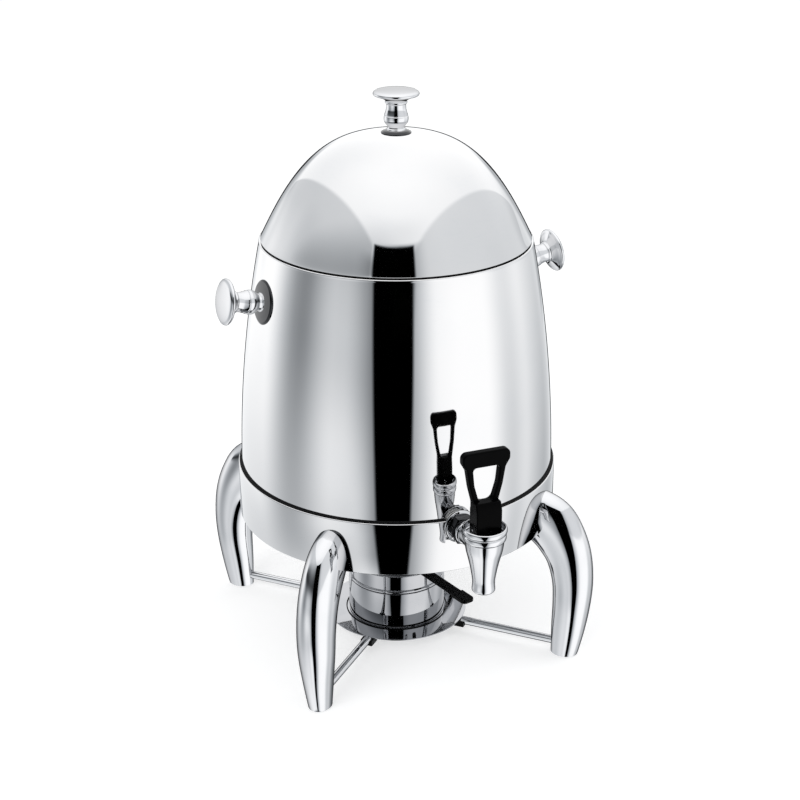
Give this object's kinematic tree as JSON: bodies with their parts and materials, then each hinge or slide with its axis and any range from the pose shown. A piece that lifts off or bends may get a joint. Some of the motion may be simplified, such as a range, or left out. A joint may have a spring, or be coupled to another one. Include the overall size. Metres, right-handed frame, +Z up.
{
  "type": "coffee urn",
  "caption": "Tapered polished coffee urn with a domed lift-off lid, side knobs, a lever tap and a ring stand on horn-shaped legs with a spirit burner below.",
  "frame": {"origin": "on the table, in the plane of the four feet, on the urn's vertical axis", "axes": "+Z up along the urn's axis, -Y towards the tap, +X to the right of someone who faces the tap"},
  "size_m": [0.3512, 0.3805, 0.54],
  "materials": {
    "polished_steel": "mirror-polished stainless steel",
    "plain_steel": "satin stainless steel",
    "chrome_plate": "bright chrome plate",
    "plated_brass": "machined brass",
    "black_rubber": "matt",
    "white_silicone": "matt",
    "black_plastic": "moulded, satin gloss",
    "black_enamel": "black enamel",
    "heat_aluminium": "rolled"
  },
  "bodies": {
    "stand": {"base_ring": "polished_steel", "ring_shelf": "plain_steel", "seat_gasket": "black_rubber", "leg_front_left": "chrome_plate", "leg_front_right": "chrome_plate", "leg_back_left": "chrome_plate", "leg_back_right": "chrome_plate", "foot_pads": "black_rubber", "leg_screws": "plain_steel", "tie_rods": "chrome_plate", "rod_lugs": "black_enamel", "burner_tray": "polished_steel", "tray_screws": "plain_steel", "pot_locating_ring": "black_enamel"},
    "vessel": {"outer_shell": "polished_steel", "base_pan": "plain_steel", "heat_plate": "heat_aluminium", "inner_container": "plain_steel", "rim_ring": "polished_steel", "handle_knob_left": "chrome_plate", "handle_knob_right": "chrome_plate", "handle_rosette_left": "chrome_plate", "handle_rosette_right": "chrome_plate", "handle_studs": "plain_steel", "handle_nuts": "plain_steel", "tap_shank": "plated_brass", "tap_spacer": "white_silicone", "tap_escutcheon": "chrome_plate", "tap_lock_nut": "chrome_plate", "tap_inner_gasket": "black_rubber", "tap_back_nut": "plated_brass", "tap_body": "chrome_plate", "tap_bonnet": "chrome_plate"},
    "tap_stem": {"tap_stem": "plain_steel", "tap_seat_cup": "white_silicone", "tap_spring": "plain_steel"},
    "tap_lever": {"tap_lever": "black_plastic", "lever_pin": "plain_steel"},
    "lid": {"lid_dome": "polished_steel", "lid_skirt": "plain_steel", "lid_seal": "black_rubber", "lid_rosette": "chrome_plate", "lid_knob": "chrome_plate", "lid_knob_screw": "plain_steel", "lid_washer": "plain_steel"},
    "fuel_pot": {"fuel_pot": "polished_steel"},
    "pot_cover": {"pot_cover": "polished_steel"},
    "shutter": {"shutter_plate": "plain_steel", "shutter_handle": "black_enamel", "shutter_grip": "black_enamel", "pivot_rivet": "plain_steel"}
  },
  "joints": [
    {"name": "vessel_lift", "type": "slide", "parent": "stand", "child": "vessel", "axis": [0, 0, 1], "range_m": [0, 0.06]},
    {"name": "lid_lift", "type": "slide", "parent": "vessel", "child": "lid", "axis": [0, 0, 1], "range_m": [0, 0.1]},
    {"name": "stem_lift", "type": "slide", "parent": "vessel", "child": "tap_stem", "axis": [0, 0, 1], "range_m": [0, 0.00395], "deforming": ["tap_spring"]},
    {"name": "lever_tilt", "type": "hinge", "parent": "tap_stem", "child": "tap_lever", "pos_m": [0, -0.207, 0.1985], "axis": [1, 0, 0], "range_deg": [0, 45], "stiffness_Nm_per_rad": 0.02, "springref_deg": -45.84},
    {"name": "pot_lift", "type": "slide", "parent": "stand", "child": "fuel_pot", "axis": [0, 0, 1], "range_m": [0, 0.03]},
    {"name": "cover_lift", "type": "slide", "parent": "fuel_pot", "child": "pot_cover", "axis": [0, 0, 1], "range_m": [0, 0.03]},
    {"name": "shutter_turn", "type": "hinge", "parent": "pot_cover", "child": "shutter", "pos_m": [0, 0, 0.07], "axis": [0, 0, 1], "range_deg": [0, 60]}
  ],
  "couplings": [
    {"joint": "stem_lift", "follows": "lever_tilt", "m_per_rad": 0.005}
  ]
}
